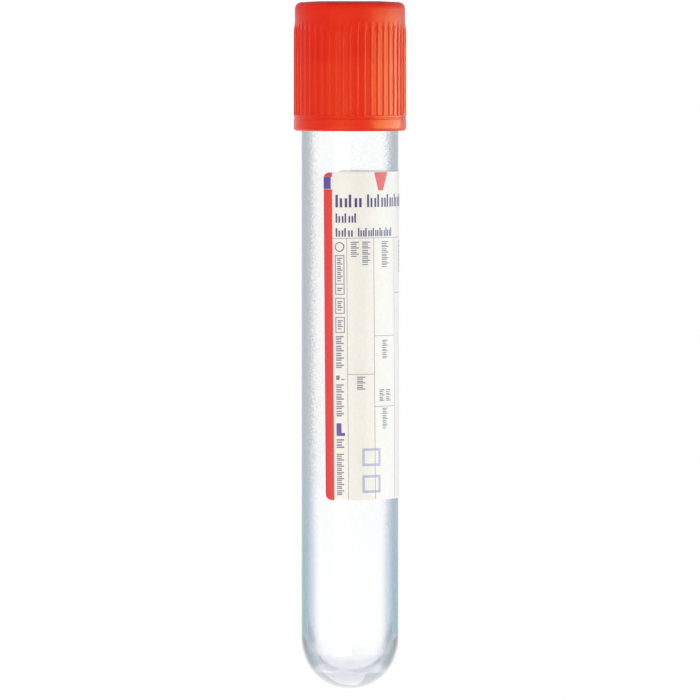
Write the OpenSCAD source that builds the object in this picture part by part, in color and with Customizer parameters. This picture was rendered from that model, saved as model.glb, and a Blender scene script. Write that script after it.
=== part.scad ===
// Evacuated blood collection tube with a rubber stopper and a ribbed safety cap, standing on its cap.
//
// Every piece is drawn the usual way up, with the tube's axis on Z, its rounded bottom at Z = 0 and
// its front facing -Y. rest_pose() then turns the whole tube over. Its bottom is round and it rolls
// when it lies down, so it stands on the flat top of its cap: that top lies on the surface at Z = 0,
// and the front still faces -Y.

/* [Tube] */
// Length from the rounded bottom to the rim
tube_length = 100; // [70:1:130]
// Outer diameter of the barrel
tube_diameter = 15.3; // [12:0.1:19]
// Thickness of the side wall
tube_wall = 1; // [0.8:0.1:1.5]
// Thickness of the bottom at its lowest point
bottom_thickness = 2.2; // [1.5:0.1:4]
// Chamfer on both edges of the rim
rim_chamfer = 0.25; // [0.1:0.05:0.35]

/* [Label] */
// Height of the label along the tube
label_height = 51.5; // [20:0.5:55]
// Distance from the rounded bottom to the label's lower edge
label_offset = 30; // [10:0.5:32]
// Angle that the label wraps round the tube
label_wrap = 230; // [90:5:320]
// Angle from the front of the tube to the label's left edge, positive to the right
label_start = -31; // [-90:1:90]
// Thickness of the paper
label_thickness = 0.1; // [0.06:0.01:0.15]
// Thickness of the adhesive between the paper and the tube
label_adhesive = 0.02; // [0.01:0.01:0.04]

/* [Stopper] */
// How far the plug reaches into the tube
plug_depth = 9; // [7:0.5:11]
// Gap between the plug and the bore of the tube, on the radius
plug_clearance = 0.05; // [0.01:0.01:0.1]
// Chamfer on the plug's leading edge
plug_chamfer = 0.8; // [0.4:0.1:1.2]
// Thickness of the flange that sits on the rim
flange_thickness = 1.8; // [1.2:0.1:2.5]
// How much narrower than the tube the flange is, on the radius
flange_inset = 0.1; // [0.05:0.05:0.3]
// Height of the neck between the flange and the head
neck_height = 1.2; // [0.9:0.1:2]
// Depth of the neck below the head, on the radius
neck_depth = 1.4; // [0.8:0.1:2]
// Height of the head
head_height = 3.4; // [2.5:0.1:5]
// How much narrower than the tube the head is, on the radius
head_inset = 0.35; // [0.3:0.05:0.8]
// Diameter of the needle well in the head
top_well_diameter = 6; // [4:0.1:7]
// Depth of the needle well in the head
top_well_depth = 4; // [2:0.1:5]
// Diameter of the hollow under the plug
bottom_well_diameter = 7.2; // [5:0.1:8]
// Depth of the hollow under the plug
bottom_well_depth = 7; // [5:0.1:8]

/* [Safety cap] */
// How far the skirt reaches down past the rim of the tube
skirt_overlap = 11.9; // [9:0.1:15]
// Gap between the skirt and the tube, on the radius
skirt_clearance = 0.4; // [0.3:0.05:0.6]
// Thickness of the skirt, over the ribs
skirt_wall = 0.83; // [0.8:0.01:1.2]
// Thickness of the ring over the stopper's head
top_thickness = 2; // [1.2:0.1:3]
// Gap between the cap and the stopper that it holds
cap_clearance = 0.1; // [0.05:0.01:0.15]
// Diameter of the needle port in the top
port_diameter = 8.4; // [6:0.1:9]
// Chamfer on the upper edge of the needle port
port_chamfer = 0.4; // [0.2:0.1:0.8]
// Rounding of the outer edge of the top
top_rounding = 1; // [0.5:0.1:1.2]
// Rounding of the outer edge of the skirt
skirt_rounding = 0.5; // [0.2:0.1:0.5]
// Height of the smooth band under the ribs
lower_band_height = 2.5; // [1.5:0.1:4]
// Height of the smooth band over the ribs
upper_band_height = 3.2; // [2:0.1:4]

/* [Ribs and groove] */
// Number of grip ribs
rib_count = 48; // [24:1:60]
// Width of a rib
rib_width = 0.4; // [0.2:0.05:0.5]
// Height of a rib above the wall between the ribs
rib_height = 0.19; // [0.1:0.01:0.25]
// Length of the slope at the upper end of a rib
rib_runout = 1.6; // [0.5:0.1:2.5]
// Distance from the skirt's lower edge to the middle of the ring groove
groove_offset = 2; // [1:0.1:2.2]
// Width of the ring groove
groove_width = 0.3; // [0.2:0.05:0.4]
// Depth of the ring groove
groove_depth = 0.1; // [0.05:0.01:0.15]

/* [Hidden] */
$fn = 96;
// How far a cutting shape reaches past the face that it opens
overcut = 1;

// Tube
tube_r = tube_diameter / 2;
bore_r = tube_r - tube_wall;
bore_bottom = bottom_thickness + bore_r;

// Stopper, from its lower end to its top
plug_r = bore_r - plug_clearance;
plug_end = tube_length - plug_depth;
flange_r = tube_r - flange_inset;
head_r = tube_r - head_inset;
neck_r = head_r - neck_depth;
neck_bottom = tube_length + flange_thickness;
head_bottom = neck_bottom + neck_height;
head_top = head_bottom + head_height;

// Safety cap, from the skirt's lower edge to its top
skirt_end = tube_length - skirt_overlap;
cap_bottom_of_ring = head_top + cap_clearance;
cap_top = cap_bottom_of_ring + top_thickness;
skirt_bore_r = tube_r + skirt_clearance;
cap_r = skirt_bore_r + skirt_wall;
cap_wall_r = cap_r - rib_height;
head_bore_r = head_r + cap_clearance;
ledge_bore_r = neck_r + cap_clearance;
ledge_bottom = neck_bottom + cap_clearance;
ledge_top = head_bottom - cap_clearance;
port_r = port_diameter / 2;
ribs_bottom = skirt_end + lower_band_height;
ribs_top = cap_top - upper_band_height;

// Turns its children over with their front still facing -Y, and sets the cap's top on the surface
module rest_pose() {
    translate([0, 0, cap_top]) rotate([0, 180, 0]) children();
}

// Outside of the tube: a hemisphere and a barrel with a chamfered rim
module tube_outside() {
    translate([0, 0, tube_r]) sphere(r = tube_r);
    rotate_extrude() polygon([
        [0, tube_r],
        [tube_r, tube_r],
        [tube_r, tube_length - rim_chamfer],
        [tube_r - rim_chamfer, tube_length],
        [0, tube_length]
    ]);
}

// Hollow of the tube: a hemisphere and a bore that opens through the rim
module tube_hollow() {
    translate([0, 0, bore_bottom]) sphere(r = bore_r);
    rotate_extrude() polygon([
        [0, bore_bottom],
        [bore_r, bore_bottom],
        [bore_r, tube_length - rim_chamfer],
        [bore_r + rim_chamfer, tube_length],
        [bore_r + rim_chamfer, tube_length + overcut],
        [0, tube_length + overcut]
    ]);
}

module tube() {
    color([0.85, 0.92, 0.95, 0.4]) rest_pose() difference() {
        tube_outside();
        tube_hollow();
    }
}

// Paper wrapped part of the way round the barrel
module label() {
    color("oldlace") rest_pose() rotate([0, 0, label_start - 90])
        rotate_extrude(angle = label_wrap)
            translate([tube_r + label_adhesive, label_offset])
                square([label_thickness, label_height]);
}

// Half section of the stopper before its wells are cut: plug, flange, neck and head
module stopper_section() {
    polygon([
        [0, plug_end],
        [plug_r - plug_chamfer, plug_end],
        [plug_r, plug_end + plug_chamfer],
        [plug_r, tube_length],
        [flange_r, tube_length],
        [flange_r, neck_bottom],
        [neck_r, neck_bottom],
        [neck_r, head_bottom],
        [head_r, head_bottom],
        [head_r, head_top],
        [0, head_top]
    ]);
}

module stopper() {
    color("firebrick") rest_pose() difference() {
        rotate_extrude() stopper_section();
        translate([0, 0, head_top - top_well_depth])
            cylinder(d = top_well_diameter, h = top_well_depth + overcut);
        translate([0, 0, plug_end - overcut])
            cylinder(d = bottom_well_diameter, h = bottom_well_depth + overcut);
    }
}

// Half section of the cap's outside: a lower band with a rounded edge, the wall between the ribs
// and an upper band with a rounded edge
module cap_outside_section() {
    translate([0, skirt_end + skirt_rounding]) square([cap_r, lower_band_height - skirt_rounding]);
    translate([0, skirt_end]) square([cap_r - skirt_rounding, skirt_rounding]);
    translate([cap_r - skirt_rounding, skirt_end + skirt_rounding]) circle(r = skirt_rounding);
    translate([0, ribs_bottom]) square([cap_wall_r, cap_top - top_rounding - ribs_bottom]);
    translate([0, cap_top - top_rounding]) square([cap_wall_r - top_rounding, top_rounding]);
    translate([cap_wall_r - top_rounding, cap_top - top_rounding]) circle(r = top_rounding);
}

// Half section of the cap's inside: skirt, ledge in the stopper's neck, room for the head and port
module cap_inside_section() {
    translate([0, skirt_end - overcut]) square([skirt_bore_r, ledge_bottom - skirt_end + overcut]);
    translate([0, ledge_bottom]) square([ledge_bore_r, ledge_top - ledge_bottom]);
    translate([0, ledge_top]) square([head_bore_r, cap_bottom_of_ring - ledge_top]);
    polygon([
        [0, cap_bottom_of_ring],
        [port_r, cap_bottom_of_ring],
        [port_r, cap_top - port_chamfer],
        [port_r + port_chamfer, cap_top],
        [port_r + port_chamfer, cap_top + overcut],
        [0, cap_top + overcut]
    ]);
}

// Half section of the fine ring groove in the lower band
module groove_section() {
    translate([cap_r - groove_depth, skirt_end + groove_offset - groove_width / 2])
        square([groove_depth + overcut, groove_width]);
}

// One grip rib, with its upper end sloping down to the upper band
module rib() {
    root_r = (cap_wall_r + skirt_bore_r) / 2;
    rotate([90, 0, 0]) linear_extrude(height = rib_width, center = true) polygon([
        [root_r, ribs_bottom],
        [cap_r, ribs_bottom],
        [cap_r, ribs_top - rib_runout],
        [cap_wall_r, ribs_top],
        [root_r, ribs_top]
    ]);
}

module safety_cap() {
    color("orangered") rest_pose() union() {
        rotate_extrude() difference() {
            cap_outside_section();
            cap_inside_section();
            groove_section();
        }
        for (i = [0 : rib_count - 1]) rotate([0, 0, i * 360 / rib_count]) rib();
    }
}

tube();
label();
stopper();
safety_cap();
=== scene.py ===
"""Looks of an evacuated blood collection tube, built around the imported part.

The part stands on the flat top of its cap. Every piece is drawn in millimetres the usual way up, with
the tube's axis on Z, its rounded bottom at height 0 and its front facing -Y, and is then turned over
into the row frame, as the CAD is. A turning angle of 0 is the front, and 90 degrees is the right side.
"""
from math import acos, cos, pi, radians, sin, tan

import bmesh
import bpy
from mathutils import Matrix, Vector


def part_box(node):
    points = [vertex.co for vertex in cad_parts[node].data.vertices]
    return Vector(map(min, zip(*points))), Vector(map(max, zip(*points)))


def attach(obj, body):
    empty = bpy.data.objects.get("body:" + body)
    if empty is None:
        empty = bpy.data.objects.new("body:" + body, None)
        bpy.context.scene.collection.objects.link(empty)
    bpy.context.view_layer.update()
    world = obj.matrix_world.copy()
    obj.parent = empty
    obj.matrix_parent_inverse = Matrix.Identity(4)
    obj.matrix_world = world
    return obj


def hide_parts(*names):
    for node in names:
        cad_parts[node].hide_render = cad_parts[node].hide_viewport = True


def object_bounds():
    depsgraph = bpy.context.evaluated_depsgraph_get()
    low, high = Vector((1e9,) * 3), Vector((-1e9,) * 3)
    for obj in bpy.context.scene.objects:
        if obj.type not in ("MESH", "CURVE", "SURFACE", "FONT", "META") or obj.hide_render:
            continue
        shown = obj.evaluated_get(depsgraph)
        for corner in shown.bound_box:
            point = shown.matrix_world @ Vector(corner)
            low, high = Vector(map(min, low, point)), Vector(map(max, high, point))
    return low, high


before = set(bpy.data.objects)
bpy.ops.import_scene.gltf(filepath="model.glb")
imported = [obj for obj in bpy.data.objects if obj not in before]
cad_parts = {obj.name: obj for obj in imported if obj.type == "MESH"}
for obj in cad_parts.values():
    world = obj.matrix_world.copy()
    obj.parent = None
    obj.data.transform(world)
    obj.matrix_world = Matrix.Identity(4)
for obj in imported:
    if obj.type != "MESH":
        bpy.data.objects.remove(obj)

cad_low, cad_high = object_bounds()

# ---------------------------------------------------------------- sizes, in millimetres
MM = 0.001
CAP_TOP = cad_high.z / MM
TURNED_OVER = Matrix.Translation((0, 0, cad_high.z)) @ Matrix.Rotation(pi, 4, "Y") @ Matrix.Scale(MM, 4)


def node_heights(node):
    """Lowest and highest height of a CAD node above the rounded bottom."""
    low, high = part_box(node)
    return CAP_TOP - high.z / MM, CAP_TOP - low.z / MM


def node_radius(node):
    """Largest radius of a CAD node about the tube's axis."""
    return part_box(node)[1].y / MM


# Tube
TUBE_R = node_radius("tube")
TUBE_TOP = node_heights("tube")[1]
TUBE_WALL = 1.0
BORE_R = TUBE_R - TUBE_WALL
BOTTOM_THICKNESS = 2.2
BORE_BOTTOM = BOTTOM_THICKNESS + BORE_R
RIM_ROUNDING = 0.25

# Heights between which one look of the tube's wall gives way to the next
FOOT_TO_CORNER = (2.7, 2.9)
CORNER_TO_CURVE = (3.5, 5.0)
CURVE_TO_BARREL = (6.0, 9.0)
DULL_TO_POLISHED = (7.0, 11.0)
CLEAR_COAT_TO_BARE = (7.0, 9.0)
SMOOTH_TO_COATED = (20.0, 40.0)
BARE_TO_DUSTY = (18.0, 34.0)

# Label. It is stuck on a little askew and a little nearer the cap than its CAD strip.
LABEL_R = node_radius("label")
LABEL_LOW, LABEL_HIGH = node_heights("label")
LABEL_THICKNESS = 0.1
LABEL_START = radians(-31)
LABEL_LENGTH = radians(230) * LABEL_R
LABEL_CORNER = 1.0
LABEL_SKEW = radians(0.45)
LABEL_SHIFT = 0.25

# Print. COLUMN_RULES are the form's upright lines, by their distance from the label's left edge.
INK_THICKNESS = 0.012
INK_GAP = 0.002
EDGE_MARGIN = 0.03
STRIPE_WIDTH = 1.5
STRIPE_TOP = LABEL_HIGH - 2.65
PATCH_TOP = LABEL_HIGH - 0.7
RULE = 0.09
RULE_MARGIN = 1.2
HEADING_HEIGHT = 10.3
COLUMN_RULES = (3.75, 8.15, 12.75, 17.2, 21.6, 26.0)

# Stopper
PLUG_END, HEAD_TOP = node_heights("stopper")
PLUG_R = BORE_R - 0.05
PLUG_CHAMFER = 0.8
FLANGE_R = TUBE_R - 0.1
HEAD_R = TUBE_R - 0.35
NECK_R = HEAD_R - 1.4
NECK_LOW = TUBE_TOP + 1.8
HEAD_LOW = NECK_LOW + 1.2
NEEDLE_WELL_R, NEEDLE_WELL_DEPTH = 3.0, 4.0
PLUG_WELL_R, PLUG_WELL_DEPTH = 3.6, 7.0

# Safety cap. A rib's section is given as pairs: place across the rib, and share of its height.
SKIRT_END = node_heights("safety_cap")[0]
CAP_R = node_radius("safety_cap")
CAP_CLEARANCE = 0.1
SKIRT_BORE_R = TUBE_R + 0.4
HEAD_BORE_R = HEAD_R + CAP_CLEARANCE
LEDGE_BORE_R = NECK_R + CAP_CLEARANCE
RIB_COUNT = 48
RIB_PITCH = 2 * pi / RIB_COUNT
RIB_HEIGHT = 0.19
RIB_RUNOUT = 1.6
RIB_SECTION = (
    (-0.25, 0.0), (-0.18, 0.7), (-0.10, 0.97), (0.0, 1.0), (0.10, 0.97), (0.18, 0.7), (0.25, 0.0),
)
CAP_WALL_R = CAP_R - RIB_HEIGHT
RIBS_LOW, RIBS_HIGH = SKIRT_END + 2.5, CAP_TOP - 3.2
GROOVE_HEIGHT = SKIRT_END + 2.0
GROOVE_FLOOR_R = CAP_R - 0.1
GROOVE_FLOOR_HALF, GROOVE_MOUTH_HALF = 0.08, 0.17
PORT_R = 4.2
PORT_CHAMFER = 0.4
TOP_CROWN = 0.2


# ---------------------------------------------------------------- mesh helpers
def link_to_scene(thing):
    bpy.context.scene.collection.objects.link(thing)
    return thing


def arc(centre_r, centre_height, radius, start, end, steps):
    """Points on an arc of a half section, between two angles in degrees from the outward direction."""
    turns = [radians(start + (end - start) * i / steps) for i in range(steps + 1)]
    return [(centre_r + radius * cos(a), centre_height + radius * sin(a)) for a in turns]


def rounded_section(corners, steps=5):
    """Outline through (radius, height, rounding) corners, with an arc at each corner that has a rounding."""
    points = []
    for i, (r, height, rounding) in enumerate(corners):
        corner = Vector((r, height))
        if not rounding:
            points.append((r, height))
            continue
        back = (Vector(corners[i - 1][:2]) - corner).normalized()
        ahead = (Vector(corners[(i + 1) % len(corners)][:2]) - corner).normalized()
        half = acos(max(-1, min(1, back.dot(ahead)))) / 2
        centre = corner + (back + ahead).normalized() * rounding / sin(half)
        start = corner + back * rounding / tan(half) - centre
        end = corner + ahead * rounding / tan(half) - centre
        points += [tuple(centre + start.slerp(end, k / steps) * rounding) for k in range(steps + 1)]
    return points


def even_angles(count):
    return [2 * pi * i / count for i in range(count)]


def with_supports(section, poles, margin=0.12):
    """Adds a point near each end of long straight parts, so that smooth shading stays at the corners."""
    points = []
    for i, point in enumerate(section):
        points.append(point)
        here, following = Vector(point), Vector(section[(i + 1) % len(section)])
        reach = following - here
        if reach.length < 5 * margin or (poles and i == len(section) - 1):
            continue
        points += [tuple(here + reach.normalized() * margin), tuple(following - reach.normalized() * margin)]
    return points


def lathe(section, angles, radius_at=lambda r, height, angle: r):
    """Turns a half section about the axis. A section that starts and ends on the axis has two poles."""
    poles = section[0][0] == 0 and section[-1][0] == 0
    section = with_supports(section, poles)
    rings = section[1:-1] if poles else section
    columns = len(angles)
    vertices = []
    for r, height in rings:
        for angle in angles:
            reach = radius_at(r, height, angle)
            vertices.append((reach * sin(angle), -reach * cos(angle), height))
    faces = []
    for ring_index in range(len(rings) - 1 if poles else len(rings)):
        low, high = ring_index * columns, (ring_index + 1) % len(rings) * columns
        for c in range(columns):
            d = (c + 1) % columns
            faces.append((low + c, low + d, high + d, high + c))
    if poles:
        first, last = len(vertices), len(vertices) + 1
        vertices += [(0, 0, section[0][1]), (0, 0, section[-1][1])]
        end = (len(rings) - 1) * columns
        for c in range(columns):
            d = (c + 1) % columns
            faces.append((first, d, c))
            faces.append((last, end + c, end + d))
    mesh = bpy.data.meshes.new("turned")
    mesh.from_pydata(vertices, [], faces)
    return mesh


def in_fixed_order(shape):
    """Mesh of a cut shape, with its points and faces in an order that is the same each run."""
    def place(vertex):
        around = [tuple(round(c, 3) for c in face.calc_center_median()) for face in vertex.link_faces]
        return tuple(vertex.co), sorted(around)

    points = sorted(shape.verts, key=place)
    number = {vertex: i for i, vertex in enumerate(points)}
    faces = []
    for face in shape.faces:
        corners = [number[vertex] for vertex in face.verts]
        first = corners.index(min(corners))
        faces.append(corners[first:] + corners[:first])
    mesh = bpy.data.meshes.new("wrapped")
    mesh.from_pydata([tuple(vertex.co) for vertex in points], [], sorted(faces))
    return mesh


def wrap(shapes, inner_r, thickness, step=0.4):
    """Flat shapes on the unrolled label, bent round the tube and given a thickness."""
    middle = Vector((LABEL_LENGTH / 2, (LABEL_LOW + LABEL_HIGH) / 2, 0))
    shape = bmesh.new()
    for outline in shapes:
        shape.faces.new([shape.verts.new((u, v, 0)) for u, v in outline])
    bmesh.ops.rotate(shape, verts=shape.verts, cent=middle, matrix=Matrix.Rotation(LABEL_SKEW, 3, "Z"))
    for i in range(1, int(LABEL_LENGTH / step) + 1):
        every = shape.verts[:] + shape.edges[:] + shape.faces[:]
        bmesh.ops.bisect_plane(shape, geom=every, plane_co=(i * step, 0, 0), plane_no=(1, 0, 0))
    grown = bmesh.ops.extrude_face_region(shape, geom=shape.faces[:], use_keep_orig=True)
    for item in grown["geom"]:
        if isinstance(item, bmesh.types.BMVert):
            item.co.z = thickness
    for vertex in shape.verts:
        u, v, lift = vertex.co
        angle, reach = LABEL_START + u / LABEL_R, inner_r + lift
        vertex.co = (reach * sin(angle), -reach * cos(angle), v + LABEL_SHIFT)
    bmesh.ops.recalc_face_normals(shape, faces=shape.faces[:])
    mesh = in_fixed_order(shape)
    shape.free()
    return mesh


def add_piece(name, mesh, body, materials, stands_for=(), sharp=35):
    """Turns a drawn mesh over into the row frame and makes it a piece that rides on a body."""
    mesh.transform(TURNED_OVER)
    mesh.name = name
    for material in materials:
        mesh.materials.append(material)
    mesh.shade_smooth()
    mesh.set_sharp_from_angle(angle=radians(sharp))
    piece = link_to_scene(bpy.data.objects.new(name, mesh))
    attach(piece, body)
    if stands_for:
        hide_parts(*stands_for)
    return piece


# ---------------------------------------------------------------- node helpers
class Nodes:
    """Short calls to build the node tree of a material or a world."""

    def __init__(self, owner, shader="Principled BSDF"):
        owner.use_nodes = True
        self.tree = owner.node_tree
        self.shader = self.tree.nodes[shader]

    def link(self, source, target):
        self.tree.links.new(source, target)

    def fill(self, socket, value):
        """Sets a socket, or links it if the value is another node's output."""
        if isinstance(value, bpy.types.NodeSocket):
            self.link(value, socket)
        else:
            socket.default_value = value

    def add(self, kind, inputs=(), **settings):
        node = self.tree.nodes.new(kind)
        for key, value in settings.items():
            setattr(node, key, value)
        for key, value in dict(inputs).items():
            self.fill(node.inputs[key], value)
        return node

    def set(self, **values):
        """Sets the shader's own sockets, such as Roughness, from names written with underscores."""
        for key, value in values.items():
            self.fill(self.shader.inputs[key.replace("_", " ")], value)

    def place(self, stretch=(1, 1, 1)):
        """Position on the part in millimetres, in the row frame."""
        where = self.add("ShaderNodeTexCoord").outputs["Object"]
        scale = [s / MM for s in stretch]
        return self.add("ShaderNodeMapping", {"Vector": where, "Scale": scale}).outputs["Vector"]

    def height(self):
        """Height above the rounded bottom in millimetres."""
        z = self.add("ShaderNodeSeparateXYZ", {"Vector": self.place()}).outputs["Z"]
        return self.math("SUBTRACT", CAP_TOP, z)

    def slant(self):
        """0 where the barrel is seen straight on, rising to 1 at its outline. It ignores the dome's slope."""
        level = self.add("ShaderNodeVectorMath", {0: self.place(stretch=(1, 1, 0))}, operation="NORMALIZE")
        outwards = self.add("ShaderNodeVectorTransform", {"Vector": level.outputs["Vector"]},
                            vector_type="NORMAL", convert_from="OBJECT", convert_to="WORLD")
        inputs = {"Blend": 0.5, "Normal": outwards.outputs["Vector"]}
        return self.add("ShaderNodeLayerWeight", inputs).outputs["Facing"]

    def true_slant(self):
        """0 where the surface is seen straight on, rising to 1 at its outline."""
        return self.add("ShaderNodeLayerWeight", {"Blend": 0.5}).outputs["Facing"]

    def math(self, operation, a, b):
        return self.add("ShaderNodeMath", {0: a, 1: b}, operation=operation).outputs[0]

    def noise(self, size, detail=2.0, roughness=0.5, stretch=(1, 1, 1)):
        """Noise with features of about the given size in millimetres."""
        where = self.place(stretch)
        inputs = {"Vector": where, "Scale": 1 / size, "Detail": detail, "Roughness": roughness}
        return self.add("ShaderNodeTexNoise", inputs).outputs["Fac"]

    def ramp(self, value, stops):
        """Colour along a value, from (position, colour) stops, where a number is a grey."""
        node = self.add("ShaderNodeValToRGB", {"Fac": value})
        elements = node.color_ramp.elements
        while len(elements) < len(stops):
            elements.new(0.5)
        for element, (position, colour) in zip(elements, stops):
            element.position = position
            element.color = (*colour, 1) if isinstance(colour, tuple) else (colour, colour, colour, 1)
        return node.outputs["Color"]

    def span(self, value, low, high, to_low=0.0, to_high=1.0):
        """Maps a value's range to another, without running past its ends."""
        inputs = {"Value": value, "From Min": low, "From Max": high, "To Min": to_low, "To Max": to_high}
        return self.add("ShaderNodeMapRange", inputs).outputs["Result"]

    def mix(self, factor, a, b, blend="MIX"):
        node = self.add("ShaderNodeMix", data_type="RGBA", blend_type=blend)
        for socket, value in ((0, factor), (6, a), (7, b)):
            self.fill(node.inputs[socket], (*value, 1) if isinstance(value, tuple) else value)
        return node.outputs[2]

    def bump(self, height, distance):
        """Bump from a height of 0 to 1, with the distance in millimetres."""
        inputs = {"Height": height, "Distance": distance * MM, "Strength": 1.0}
        return self.add("ShaderNodeBump", inputs).outputs["Normal"]

    def ray_mask(self, *kinds):
        """1 for a ray of one of the kinds, such as Is Camera Ray, and 0 for the rest."""
        path = self.add("ShaderNodeLightPath")
        total = path.outputs[kinds[0]]
        for kind in kinds[1:]:
            total = self.math("MAXIMUM", total, path.outputs[kind])
        return total

    def mix_shaders(self, share, first, second):
        return self.add("ShaderNodeMixShader", {0: share, 1: first, 2: second}).outputs[0]


def new_material(name):
    """A new material and the calls to build its nodes."""
    material = bpy.data.materials.new(name)
    return material, Nodes(material)


# ---------------------------------------------------------------- materials
def polish(n, height, roughness, curved_rim):
    """Clear moulded plastic: hazy, duller at the rounded bottom and duller still along its curved rim."""
    n.set(Transmission_Weight=1.0, IOR=1.57)
    haze = n.span(n.noise(6, 3), 0.35, 0.7, roughness, roughness * 2)
    dull = n.span(height, *DULL_TO_POLISHED, 0.02, 0)
    n.set(Roughness=n.math("ADD", n.math("ADD", haze, curved_rim), dull))


def barrel_painted_shade(n, height, slant):
    """Painted blue-grey shade along the tube's outlines, painted greyer and grainier in the stretch that is
    coated inside.
    """
    speckle = n.span(height, *SMOOTH_TO_COATED, 0.01, 0.07)
    grain = n.math("MULTIPLY", n.span(n.noise(0.32, 2, 0.7), 0.3, 0.7, -1, 1), speckle)
    narrower = n.span(height, 3, 8, -0.08, 0)
    shifted = n.math("ADD", slant, n.math("ADD", grain, narrower))
    # Each ramp paints the shade of one stretch of the wall by how slanted it is seen; the curve's ramp paints
    # light again at its outline.
    smooth = n.ramp(shifted, [
        (0.22, 1.0), (0.28, (0.80, 0.82, 0.88)), (0.33, (0.50, 0.57, 0.67)),
        (0.43, (0.26, 0.38, 0.53)), (0.52, (0.13, 0.24, 0.33)), (0.72, (0.04, 0.15, 0.21)),
    ])
    coated = n.ramp(shifted, [
        (0.23, 1.0), (0.30, (0.90, 0.91, 0.95)), (0.36, (0.57, 0.63, 0.69)),
        (0.42, (0.33, 0.39, 0.44)), (0.52, (0.20, 0.25, 0.29)), (0.72, (0.11, 0.16, 0.20)),
    ])
    curve = n.ramp(shifted, [
        (0.24, 1.0), (0.34, (0.58, 0.66, 0.74)), (0.46, (0.32, 0.44, 0.52)),
        (0.56, (0.45, 0.57, 0.63)), (0.72, (0.85, 0.92, 0.95)),
    ])
    corner = n.ramp(shifted, [(0.21, 1.0), (0.29, (0.62, 0.68, 0.75)), (0.42, (0.48, 0.55, 0.62))])
    painted_edge_shade = n.mix(n.span(height, *SMOOTH_TO_COATED), smooth, coated)
    painted_edge_shade = n.mix(n.span(height, *CURVE_TO_BARREL), curve, painted_edge_shade)
    return n.mix(n.span(height, *CORNER_TO_CURVE), corner, painted_edge_shade)


def foot_painted_shade(n, slant):
    """Painted grey shade of the thick rounded bottom, darker towards its outline."""
    # Painted shade: greyer where the bottom is seen at a slant, and painted darker again away from its
    # middle.
    foot = n.ramp(n.true_slant(), [
        (0.23, 1.0), (0.28, (0.88, 0.90, 0.94)), (0.36, (0.62, 0.64, 0.69)),
        (0.45, (0.45, 0.47, 0.51)), (0.60, (0.38, 0.39, 0.42)), (0.80, (0.32, 0.33, 0.36)),
    ])
    shaded = n.mix(1.0, foot, (0.84, 0.85, 0.88), "MULTIPLY")
    return n.mix(n.span(slant, 0.08, 0.30), foot, shaded)


CLEAR_COAT_IOR = 1.6


def clear_outside():
    """Outer face of the tube, with blue-grey shade painted where the wall is seen at a slant."""
    material, n = new_material("clear_outer")
    height, slant = n.height(), n.slant()
    # The base colour is painted shade, from the bottom's and the barrel's ramps.
    painted_edge_shade = n.mix(n.span(height, *FOOT_TO_CORNER), foot_painted_shade(n, slant), barrel_painted_shade(n, height, slant))
    n.set(Base_Color=painted_edge_shade)
    below_barrel = n.span(height, 8, 10, 1, 0)
    curved_rim = n.math("MULTIPLY", below_barrel, n.span(slant, 0.45, 0.7, 0.0, 0.08))
    polish(n, height, 0.015, curved_rim)
    # The clear coat lightens the dome's outline, where light leaves the wall at a slant.
    n.set(Coat_Weight=n.span(height, *CLEAR_COAT_TO_BARE, 1, 0), Coat_IOR=CLEAR_COAT_IOR)
    return material


def clear_inside():
    """Bore of the tube, with a fine dust of clot activator above the bare foot of the barrel."""
    material, n = new_material("clear_bore")
    height, slant = n.height(), n.slant()
    dust = n.math("MULTIPLY", n.span(n.noise(0.25, 2, 0.7), 0.45, 0.65), n.span(height, *BARE_TO_DUSTY))
    n.set(Base_Color=n.mix(dust, (0.99, 0.993, 0.998), (0.90, 0.91, 0.92)))
    above_foot, below_barrel = n.span(height, 4, 5.5), n.span(height, 8, 12, 1, 0)
    curve = n.math("MULTIPLY", above_foot, below_barrel)
    polish(n, height, 0.04, n.math("MULTIPLY", curve, n.span(slant, 0.3, 0.6, 0.0, 0.7)))
    return material


VARNISH_ROUGHNESS = 0.35


def label_paper():
    """Coated cream paper: faint fibres under a satin varnish."""
    material, n = new_material("label_paper")
    fibres = n.noise(0.35, 4, 0.6, stretch=(1, 1, 0.5))
    n.set(Base_Color=n.ramp(fibres, [(0.3, (0.80, 0.75, 0.66)), (0.7, (0.84, 0.79, 0.705))]))
    n.set(Roughness=n.span(n.noise(1.2), 0.3, 0.7, 0.45, 0.55))
    n.set(Normal=n.bump(fibres, 0.004), Coat_Weight=1.0, Coat_Roughness=VARNISH_ROUGHNESS)
    n.set(Subsurface_Weight=0.3, Subsurface_Radius=(1.0, 0.95, 0.9), Subsurface_Scale=0.2 * MM)
    return material


def label_back_painted_lighter():
    """The label's gummed side, its colour painted lighter than the paper to make up for shade. Light also
    comes to it through the paper, as well as through the tube.
    """
    material, n = new_material("label_back_painted_lighter")
    # The light colour is painted light on the side that the tube keeps in shade.
    n.set(Base_Color=n.ramp(n.noise(1.5, 4, 0.6), [(0.3, (0.92, 0.91, 0.88)), (0.7, (0.96, 0.95, 0.92))]))
    n.set(Roughness=n.span(n.noise(1.2), 0.3, 0.7, 0.5, 0.6))
    n.set(Subsurface_Weight=1.0, Subsurface_Radius=(1.0, 1.0, 0.95), Subsurface_Scale=1.2 * MM)
    return material


def ink(name, dark, light):
    """Printed ink: a little uneven, on the same varnished paper."""
    material, n = new_material(name)
    n.set(Base_Color=n.ramp(n.noise(0.4, 3, 0.6), [(0.3, dark), (0.7, light)]))
    n.set(Roughness=n.span(n.noise(1.2), 0.3, 0.7, 0.45, 0.55))
    n.set(Normal=n.bump(n.noise(0.35, 4, 0.6), 0.003), Specular_IOR_Level=0.1)
    n.set(Coat_Weight=1.0, Coat_Roughness=VARNISH_ROUGHNESS)
    return material


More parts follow.
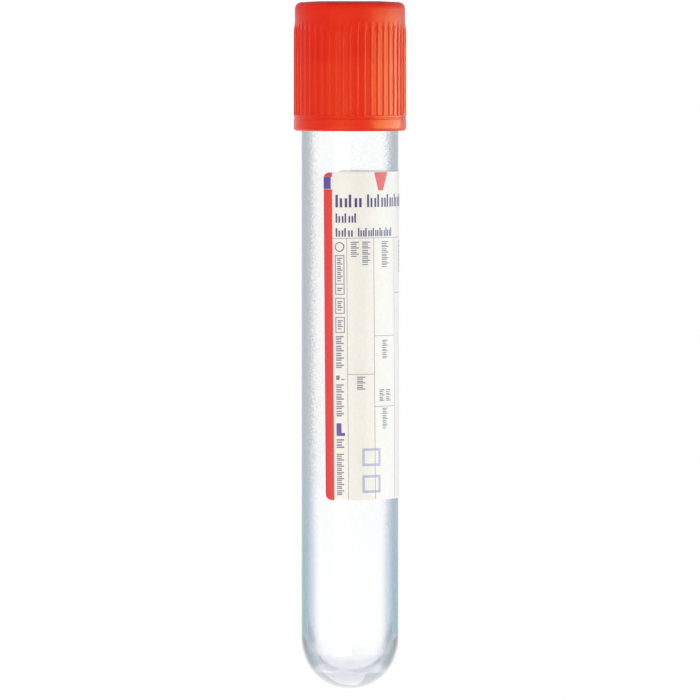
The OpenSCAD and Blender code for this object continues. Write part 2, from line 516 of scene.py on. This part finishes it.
def stopper_rubber():
    """Moulded rubber: matt, dusty and finely grained."""
    material, n = new_material("stopper_rubber")
    dark, light = (0.20, 0.022, 0.016), (0.29, 0.035, 0.024)
    n.set(Base_Color=n.ramp(n.noise(0.8, 4, 0.6), [(0.3, dark), (0.7, light)]))
    n.set(Roughness=n.span(n.noise(0.6, 3), 0.3, 0.7, 0.55, 0.75))
    n.set(Normal=n.bump(n.noise(0.12, 2), 0.01), IOR=1.52)
    return material


def cap_plastic():
    """Satin polyethylene with painted light: a painted shade, deepest where the dark stopper is right behind
    it, and a painted glow, lightest over the clear tube.
    """
    material, n = new_material("cap_plastic")
    height = n.height()
    clouds = n.span(n.noise(3.5, 3, 0.6), 0.3, 0.7, -0.03, 0.03)
    place = n.math("ADD", n.span(height, SKIRT_END, CAP_TOP), clouds)
    # Painted light in the red: glow where the clear tube is behind the skirt, shade over the stopper, and a
    # lighter top.
    glow_painted_over_tube, shade_painted_over_stopper, thick = (0.77, 0.018, 0.009), (0.755, 0.009, 0.007), (0.775, 0.013, 0.008)
    n.set(Base_Color=n.ramp(place, [(0.50, glow_painted_over_tube), (0.58, shade_painted_over_stopper), (0.80, shade_painted_over_stopper), (0.92, thick)]))
    satin = n.span(n.noise(1.5, 3), 0.3, 0.7, 0.28, 0.36)
    matt_top = n.span(height, RIBS_HIGH - 1, CAP_TOP - 1.5, 0, 0.2)
    n.set(Roughness=n.math("ADD", satin, matt_top), IOR=1.46)
    n.set(Normal=n.bump(n.noise(0.3, 2), 0.002), Specular_Tint=(0.42, 0.60, 0.18, 1))
    n.set(Subsurface_Weight=0.6, Subsurface_Radius=(1.0, 0.25, 0.1), Subsurface_Scale=0.8 * MM)
    return material


# ---------------------------------------------------------------- the tube
def tube_section():
    outside = arc(0, TUBE_R, TUBE_R, -90, 0, 40)
    outside[0] = (0, 0)
    rim = rounded_section([
        (TUBE_R, TUBE_TOP, RIM_ROUNDING),
        (BORE_R, TUBE_TOP, RIM_ROUNDING),
        (BORE_R, BORE_BOTTOM, 0),
    ])[:-1]
    inside = arc(0, BORE_BOTTOM, BORE_R, 0, -90, 40)
    inside[-1] = (0, BOTTOM_THICKNESS)
    return outside + rim + inside


def is_outer(face, margin=0.02):
    """Whether a face of the turned-over tube belongs to its outside, and not to its bore."""
    reach = face.center.to_2d().length / MM
    height = CAP_TOP - face.center.z / MM
    if height > BORE_BOTTOM:
        return reach > (TUBE_R + BORE_R) / 2
    return Vector((reach, height - BORE_BOTTOM)).length > BORE_R + margin


def make_tube():
    mesh = lathe(tube_section(), even_angles(192))
    materials = [clear_outside(), clear_inside()]
    piece = add_piece("clear_tube", mesh, "tube_body", materials, ["tube"])
    for face in mesh.polygons:
        face.material_index = 0 if is_outer(face) else 1
    piece.visible_shadow = False
    return piece


# ---------------------------------------------------------------- shapes on the unrolled label
# u runs to the right from the label's left edge, and v is the height above the rounded bottom. A drop is
# measured down from the label's upper edge.
def rectangle(u0, v0, u1, v1):
    return [(u0, v0), (u1, v0), (u1, v1), (u0, v1)]


def rounded_rectangle(u0, v0, u1, v1, left, right=0.0, steps=6):
    """Rectangle whose left and right corners are rounded by the given radii."""
    points = []
    corners = ((u0, v0, left, 180), (u1, v0, right, 270), (u1, v1, right, 0), (u0, v1, left, 90))
    for u, v, radius, start in corners:
        if not radius:
            points.append((u, v))
            continue
        centre_u = u + radius if u == u0 else u - radius
        centre_v = v + radius if v == v0 else v - radius
        points += arc(centre_u, centre_v, radius, start, start + 90, steps)
    return points


def outline_box(u0, low_drop, u1, high_drop, line):
    """Four thin lines round a box, between two drops."""
    v0, v1 = LABEL_HIGH - low_drop, LABEL_HIGH - high_drop
    return [rectangle(u0, v0, u1, v0 + line), rectangle(u0, v1 - line, u1, v1),
            rectangle(u0, v0 + line, u0 + line, v1 - line), rectangle(u1 - line, v0 + line, u1, v1 - line)]


def block(u0, low_drop, u1, high_drop):
    """A solid rectangle between two drops."""
    return [rectangle(u0, LABEL_HIGH - low_drop, u1, LABEL_HIGH - high_drop)]


def ring(u, drop, radius, line, steps=20):
    shapes, v = [], LABEL_HIGH - drop
    for i in range(steps):
        a, b = 2 * pi * i / steps, 2 * pi * (i + 1) / steps
        shapes.append([(u + r * cos(t), v + r * sin(t)) for r, t in
                       ((radius - line, a), (radius, a), (radius, b), (radius - line, b))])
    return shapes


def strokes(start, end, low, high, line, downwards=False):
    """A row of plain strokes that fills a word's place. It runs along u, or down the label along v."""
    gaps, reaches = (0.7, 1.0, 0.6, 1.3, 0.8, 0.6, 1.1), (1.0, 0.72, 0.72, 1.0, 0.72, 0.72)
    shapes, at, count = [], start, 0
    while at + line <= end:
        top = low + (high - low) * reaches[count % len(reaches)]
        if downwards:
            shapes.append(rectangle(low, -at - line, top, -at))
        else:
            shapes.append(rectangle(at, low, at + line, top))
        at += line * (1 + gaps[count % len(gaps)])
        count += 1
    return shapes


def words(places):
    """Words' places, each with the u and drop of its lower left corner, its length, size and line."""
    shapes = []
    for u, drop, length, size, line in places:
        v = LABEL_HIGH - drop
        shapes += strokes(u, u + length, v, v + size, line)
    return shapes


def words_down(places):
    """Words' places that run down the label, each with the u and drop of its start, length, size and line."""
    shapes = []
    for u, drop, length, size, line in places:
        v = LABEL_HIGH - drop
        shapes += strokes(-v, -v + length, u, u + size, line, downwards=True)
    return shapes


# ---------------------------------------------------------------- the label and its print
def make_label():
    edge = rounded_rectangle(0, LABEL_LOW, LABEL_LENGTH, LABEL_HIGH, LABEL_CORNER, LABEL_CORNER)
    mesh = wrap([edge], LABEL_R - LABEL_THICKNESS, LABEL_THICKNESS)
    materials = [label_paper(), label_back_painted_lighter()]
    piece = add_piece("paper_label", mesh, "tube_body", materials, ["label"])
    for face in mesh.polygons:
        reach = face.center.to_2d().length / MM
        face.material_index = 1 if reach < LABEL_R - LABEL_THICKNESS / 2 else 0
    return piece


def red_stripe():
    """Bar along the label's left edge, with one rounded corner and a square upper end."""
    outline = rounded_rectangle(EDGE_MARGIN, LABEL_LOW + EDGE_MARGIN, STRIPE_WIDTH, STRIPE_TOP, LABEL_CORNER)
    lower = [point for point in outline if point[1] < STRIPE_TOP - LABEL_CORNER]
    return [lower + [(STRIPE_WIDTH, STRIPE_TOP), (EDGE_MARGIN, STRIPE_TOP)]]


def corner_tip():
    """The bar's red end in the label's rounded upper corner, over the violet patch."""
    curve = arc(LABEL_CORNER, LABEL_HIGH - LABEL_CORNER, LABEL_CORNER, 90, 150, 4)
    ends = [(STRIPE_WIDTH, PATCH_TOP), (STRIPE_WIDTH, LABEL_HIGH - 0.02)]
    return [ends + curve + [(0.07, PATCH_TOP)]]


def violet_patch():
    return [rectangle(EDGE_MARGIN, STRIPE_TOP + 0.06, 1.28, PATCH_TOP - 0.02)]


def pink_wedge():
    low, high = LABEL_HIGH - 2.9, LABEL_HIGH - 0.05
    return [[(9.10, low), (10.03, low), (11.05, high), (8.35, high)]]


def heading():
    """A wide title over two shorter lines."""
    return words([
        (2.05, 5.5, 4.4, 2.0, 0.40),
        (7.1, 5.5, 13.0, 2.0, 0.34),
        (2.05, 7.9, 3.3, 1.45, 0.27),
        (2.05, 10.1, 2.9, 1.35, 0.26),
        (5.6, 10.1, 6.5, 1.35, 0.22),
    ])


def codes():
    """First column: a ring, framed words, plain words and two dots, from its upper end down."""
    shapes = ring(2.65, 11.7, 0.78, 0.18)
    for low_drop, high_drop in ((19.2, 13.0), (22.2, 19.7), (25.2, 22.7)):
        shapes += outline_box(1.9, low_drop, 3.4, high_drop, 0.13)
    shapes += block(2.03, 17.6, 3.27, 17.47)
    shapes += block(1.95, 32.6, 2.5, 31.9)
    shapes += block(2.75, 32.6, 3.3, 32.45)
    shapes += words_down([
        (2.25, 13.4, 3.9, 0.85, 0.17),
        (2.25, 18.1, 0.7, 0.85, 0.2),
        (2.25, 20.2, 1.6, 0.85, 0.17),
        (2.25, 23.2, 1.6, 0.85, 0.17),
        (1.95, 25.7, 5.3, 1.25, 0.2),
        (1.95, 33.3, 5.2, 1.2, 0.2),
        (1.95, 41.9, 1.8, 1.2, 0.22),
        (1.95, 44.2, 6.6, 1.15, 0.17),
    ])
    return shapes


def violet_block():
    """A dark corner piece in the first column."""
    return block(1.95, 41.4, 2.75, 39.4) + block(2.75, 41.4, 3.3, 40.9)


def field_names():
    """Names of the form's fields. They run down the label from the upper end of each field."""
    names = [
        (6.25, 10.9, 3.8, 1.3, 0.17),
        (4.45, 10.9, 2.4, 1.25, 0.17),
        (5.25, 32.1, 2.3, 1.35, 0.17),
        (9.7, 10.9, 4.1, 1.5, 0.15),
        (9.75, 26.4, 3.0, 1.1, 0.15),
        (10.5, 34.2, 2.0, 1.1, 0.15),
        (9.1, 34.2, 2.0, 1.0, 0.15),
        (9.7, 37.1, 3.3, 1.1, 0.15),
    ]
    for u, length in ((14.8, 5.2), (19.4, 3.6), (23.8, 4.4), (28.2, 3.1)):
        names.append((u, 10.9, length, 1.3, 0.17))
    return words_down(names)


def rules():
    """The form's lines: one under the heading, one down the side of each column and some across them."""
    top, bottom = LABEL_HIGH - HEADING_HEIGHT, LABEL_LOW + 0.1
    shapes = [rectangle(STRIPE_WIDTH, top - RULE, LABEL_LENGTH - RULE_MARGIN, top)]
    for u in COLUMN_RULES:
        shapes.append(rectangle(u, bottom, u + RULE, top - RULE))
    for column, drop in ((0, 31.7), (1, 25.7), (1, 36.8), (2, 19.0), (3, 27.5), (4, 27.5)):
        shapes += block(COLUMN_RULES[column] + RULE, drop + RULE, COLUMN_RULES[column + 1], drop)
    return shapes


def tick_boxes():
    return outline_box(6.0, 46.2, 9.2, 43.4, 0.4) + outline_box(6.0, 50.4, 9.2, 47.6, 0.4)


def add_print(name, shapes, ink_name, dark, light):
    mesh = wrap(shapes, LABEL_R + INK_GAP, INK_THICKNESS)
    return add_piece(name, mesh, "tube_body", [ink(ink_name, dark, light)])


def make_print():
    """All of the label's print, one piece for each ink."""
    return [
        add_print("label_stripe", red_stripe(), "red_ink", (0.69, 0.020, 0.020), (0.75, 0.032, 0.030)),
        add_print("label_corner", corner_tip(), "corner_ink", (0.52, 0.04, 0.07), (0.60, 0.055, 0.09)),
        add_print("label_patch", violet_patch(), "violet_ink", (0.085, 0.045, 0.28), (0.11, 0.06, 0.33)),
        add_print("label_wedge", pink_wedge(), "pink_ink", (0.66, 0.070, 0.070), (0.74, 0.10, 0.09)),
        add_print("label_heading", heading(), "dark_ink", (0.035, 0.022, 0.115), (0.055, 0.038, 0.155)),
        add_print("label_codes", codes(), "code_ink", (0.14, 0.125, 0.20), (0.20, 0.18, 0.26)),
        add_print("label_block", violet_block(), "block_ink", (0.07, 0.035, 0.24), (0.10, 0.05, 0.29)),
        add_print("label_field_names", field_names(), "field_ink", (0.18, 0.18, 0.20), (0.25, 0.25, 0.27)),
        add_print("label_rules", rules(), "rule_ink", (0.27, 0.25, 0.29), (0.37, 0.35, 0.38)),
        add_print("label_boxes", tick_boxes(), "lilac_ink", (0.45, 0.43, 0.54), (0.52, 0.50, 0.61)),
    ]


# ---------------------------------------------------------------- the closure
def stopper_section():
    return rounded_section([
        (0, PLUG_END + PLUG_WELL_DEPTH, 0),
        (PLUG_WELL_R, PLUG_END + PLUG_WELL_DEPTH, 0.8),
        (PLUG_WELL_R, PLUG_END, 0.25),
        (PLUG_R - PLUG_CHAMFER, PLUG_END, 0.2),
        (PLUG_R, PLUG_END + PLUG_CHAMFER, 0.2),
        (PLUG_R, TUBE_TOP, 0.08),
        (FLANGE_R, TUBE_TOP, 0.15),
        (FLANGE_R, NECK_LOW, 0.15),
        (NECK_R, NECK_LOW, 0.2),
        (NECK_R, HEAD_LOW, 0.2),
        (HEAD_R, HEAD_LOW, 0.15),
        (HEAD_R, HEAD_TOP, 0.3),
        (NEEDLE_WELL_R, HEAD_TOP, 0.2),
        (NEEDLE_WELL_R, HEAD_TOP - NEEDLE_WELL_DEPTH, 0.7),
        (0, HEAD_TOP - NEEDLE_WELL_DEPTH, 0),
    ])


def make_stopper():
    mesh = lathe(stopper_section(), even_angles(128))
    return add_piece("rubber_stopper", mesh, "closure", [stopper_rubber()], ["stopper"])


def rib_angles():
    """Turning angles of the cap's columns: the points of each rib's section and the middle of each gap."""
    angles = []
    for rib in range(RIB_COUNT):
        angles += [rib * RIB_PITCH + across / CAP_R for across, _ in RIB_SECTION]
        angles.append((rib + 0.5) * RIB_PITCH)
    return angles


def ribbed(r, height, angle):
    """Radius of the cap's outside, raised along the ribs."""
    if abs(r - CAP_WALL_R) > 0.001 or not RIBS_LOW <= height <= RIBS_HIGH:
        return r
    nearest = round(angle / RIB_PITCH) * RIB_PITCH
    across = (angle - nearest) * CAP_R
    raised = next((lift for place, lift in RIB_SECTION if abs(place - across) < 0.01), 0.0)
    return r + RIB_HEIGHT * raised * min(1.0, (RIBS_HIGH - height) / RIB_RUNOUT)


def cap_section():
    groove = [
        (CAP_R, GROOVE_HEIGHT - GROOVE_MOUTH_HALF, 0.04),
        (GROOVE_FLOOR_R, GROOVE_HEIGHT - GROOVE_FLOOR_HALF, 0.04),
        (GROOVE_FLOOR_R, GROOVE_HEIGHT + GROOVE_FLOOR_HALF, 0.04),
        (CAP_R, GROOVE_HEIGHT + GROOVE_MOUTH_HALF, 0.04),
    ]
    runout = [(CAP_WALL_R, RIBS_HIGH - RIB_RUNOUT * share, 0) for share in (1, 0.75, 0.5, 0.25, 0)]
    corners = [
        (SKIRT_BORE_R, SKIRT_END, 0.15),
        (CAP_R, SKIRT_END, 0.5),
        *groove,
        (CAP_R, RIBS_LOW - 0.01, 0.06),
        (CAP_WALL_R, RIBS_LOW, 0),
        (CAP_WALL_R, RIBS_LOW + 0.05, 0),
        *runout,
        (CAP_WALL_R, CAP_TOP - TOP_CROWN, 1.0),
        (PORT_R + PORT_CHAMFER, CAP_TOP, 0.1),
        (PORT_R, CAP_TOP - PORT_CHAMFER, 0.1),
        (PORT_R, HEAD_TOP + CAP_CLEARANCE, 0.1),
        (HEAD_BORE_R, HEAD_TOP + CAP_CLEARANCE, 0.1),
        (HEAD_BORE_R, HEAD_LOW - CAP_CLEARANCE, 0.1),
        (LEDGE_BORE_R, HEAD_LOW - CAP_CLEARANCE, 0.1),
        (LEDGE_BORE_R, NECK_LOW + CAP_CLEARANCE, 0.1),
        (SKIRT_BORE_R, NECK_LOW + CAP_CLEARANCE, 0.2),
    ]
    return rounded_section(corners, 6)


def make_cap():
    mesh = lathe(cap_section(), rib_angles(), ribbed)
    return add_piece("ribbed_cap", mesh, "closure", [cap_plastic()], ["safety_cap"], sharp=50)


# ---------------------------------------------------------------- stage, light and camera
def glass_sky(n):
    """What the clear tube shows: white walls and a greyer ceiling, which draws the thick rounded bottom."""
    direction = n.add("ShaderNodeTexCoord").outputs["Generated"]
    rise = n.add("ShaderNodeSeparateXYZ", {"Vector": direction}).outputs["Z"]
    pale, grey = (0.87, 0.90, 0.95), (0.66, 0.68, 0.74)
    sky = n.ramp(rise, [(0.42, 1.0), (0.46, pale), (0.65, pale), (0.70, grey)])
    return n.add("ShaderNodeBackground", {"Color": sky}).outputs[0]


def make_world(light_level):
    """A plain pale room that looks white to the camera and in gloss."""
    world = bpy.data.worlds.new("room")
    bpy.context.scene.world = world
    n = Nodes(world, "Background")
    n.set(Color=(0.96, 0.98, 1.0, 1), Strength=light_level)
    white = n.add("ShaderNodeBackground", {"Color": (1, 1, 1, 1)}).outputs[0]
    room = n.mix_shaders(n.ray_mask("Is Camera Ray", "Is Glossy Ray"), n.shader.outputs[0], white)
    room = n.mix_shaders(n.ray_mask("Is Transmission Ray"), room, glass_sky(n))
    n.link(room, n.tree.nodes["World Output"].inputs["Surface"])


def make_floor(half_size=2.0):
    """A pale floor with the object's faint shadow. Further out, it is seen as white."""
    mesh = bpy.data.meshes.new("floor")
    mesh.from_pydata([(-half_size, -half_size, 0), (half_size, -half_size, 0),
                      (half_size, half_size, 0), (-half_size, half_size, 0)], [], [(0, 1, 2, 3)])
    floor = link_to_scene(bpy.data.objects.new("floor", mesh))
    material, n = new_material("floor_white")
    n.set(Base_Color=(0.86, 0.86, 0.87, 1), Roughness=0.9, Specular_IOR_Level=0.0)
    glow = n.add("ShaderNodeEmission", {"Color": (1, 1, 1, 1), "Strength": 1.42}).outputs[0]
    where = n.add("ShaderNodeTexCoord").outputs["Object"]
    reach = n.add("ShaderNodeVectorMath", {0: where}, operation="LENGTH").outputs["Value"]
    seen = n.ray_mask("Is Camera Ray", "Is Glossy Ray", "Is Transmission Ray")
    share = n.math("MULTIPLY", seen, n.span(reach, 0.04, 0.30, 0.35, 0.60))
    surface = n.mix_shaders(share, n.shader.outputs[0], glow)
    n.link(surface, n.tree.nodes["Material Output"].inputs["Surface"])
    mesh.materials.append(material)


def softbox(name, place, aim, size, radiance, colour=(1, 1, 1)):
    """A soft rectangular lamp that faces a point, with its brightness given as a radiance."""
    lamp = bpy.data.lights.new(name, "AREA")
    lamp.shape = "RECTANGLE"
    lamp.size, lamp.size_y = size
    lamp.energy = radiance * pi * size[0] * size[1]
    lamp.color = colour
    box = link_to_scene(bpy.data.objects.new(name, lamp))
    box.location = place
    box.rotation_euler = (Vector(aim) - Vector(place)).to_track_quat("-Z", "Y").to_euler()
    box.visible_camera = False
    box.visible_transmission = False
    return box


def link_light(lamp, pieces, state):
    """Makes a lamp light only some pieces (INCLUDE) or all but some pieces (EXCLUDE)."""
    chosen = bpy.data.collections.new(f"{lamp.name}_{state.lower()}")
    for piece in pieces:
        chosen.objects.link(piece)
    for linked in chosen.collection_objects:
        linked.light_linking.link_state = state
    lamp.light_linking.receiver_collection = chosen


def gloss_lamp(name, place, aim, size, radiance, colour, pieces):
    """A lamp that shows only as a soft reflection on some pieces."""
    lamp = softbox(name, place, aim, size, radiance, colour)
    lamp.visible_diffuse = False
    link_light(lamp, pieces, "INCLUDE")


def make_lights(tube, cap, label, label_print):
    """The lamps are named as seen in the picture, whose right side is -X. Lengths are in metres."""
    middle = (0, 0, cad_high.z / 2)
    amber, cool, pale_blue = (1.0, 0.94, 0.7), (0.76, 0.90, 1.0), (0.83, 0.93, 1.0)
    right = softbox("right_softbox", (-0.60, -0.22, 0.066), middle, (0.75, 0.11), 2.4, pale_blue)
    link_light(right, [tube], "EXCLUDE")
    gloss_lamp("right_gloss", (-0.60, -0.04, 0.066), middle, (0.94, 0.25), 10.5, amber, [cap])
    gloss_lamp("label_gloss", (-0.60, 0.02, 0.066), middle, (1.0, 0.4), 2.4, cool, [label] + label_print)
    softbox("front_fill", (0.3, -0.9, 0.35), middle, (0.7, 0.7), 2.3)
    softbox("top_fill", (0.1, 0.2, 1.0), middle, (0.9, 0.9), 0.8)


def make_camera():
    """A long lens, level with the cap and turned upside down, so that the cap is at the picture's top."""
    across, distance, picture_middle = 110.4, 1500.0, 53.5
    lens_height = 3.0
    camera = bpy.data.cameras.new("camera")
    camera.sensor_width = 36.0
    camera.lens = camera.sensor_width * distance / across
    camera.clip_end = 10
    eye = Vector((0, -distance * MM, lens_height * MM))
    target = Vector((0, 0, cad_high.z - picture_middle * MM))
    forward = (target - eye).normalized()
    right = Vector((-1, 0, 0))
    up = right.cross(forward)
    turn = Matrix((right, up, -forward)).transposed().to_4x4()
    holder = link_to_scene(bpy.data.objects.new("camera", camera))
    holder.matrix_world = Matrix.Translation(eye) @ turn
    bpy.context.scene.camera = holder


make_camera()
make_world(0.68)
make_floor()
tube, cap, label = make_tube(), make_cap(), make_label()
label_print = make_print()
make_stopper()
make_lights(tube, cap, label, label_print)

bpy.context.scene.view_settings.view_transform = "Standard"
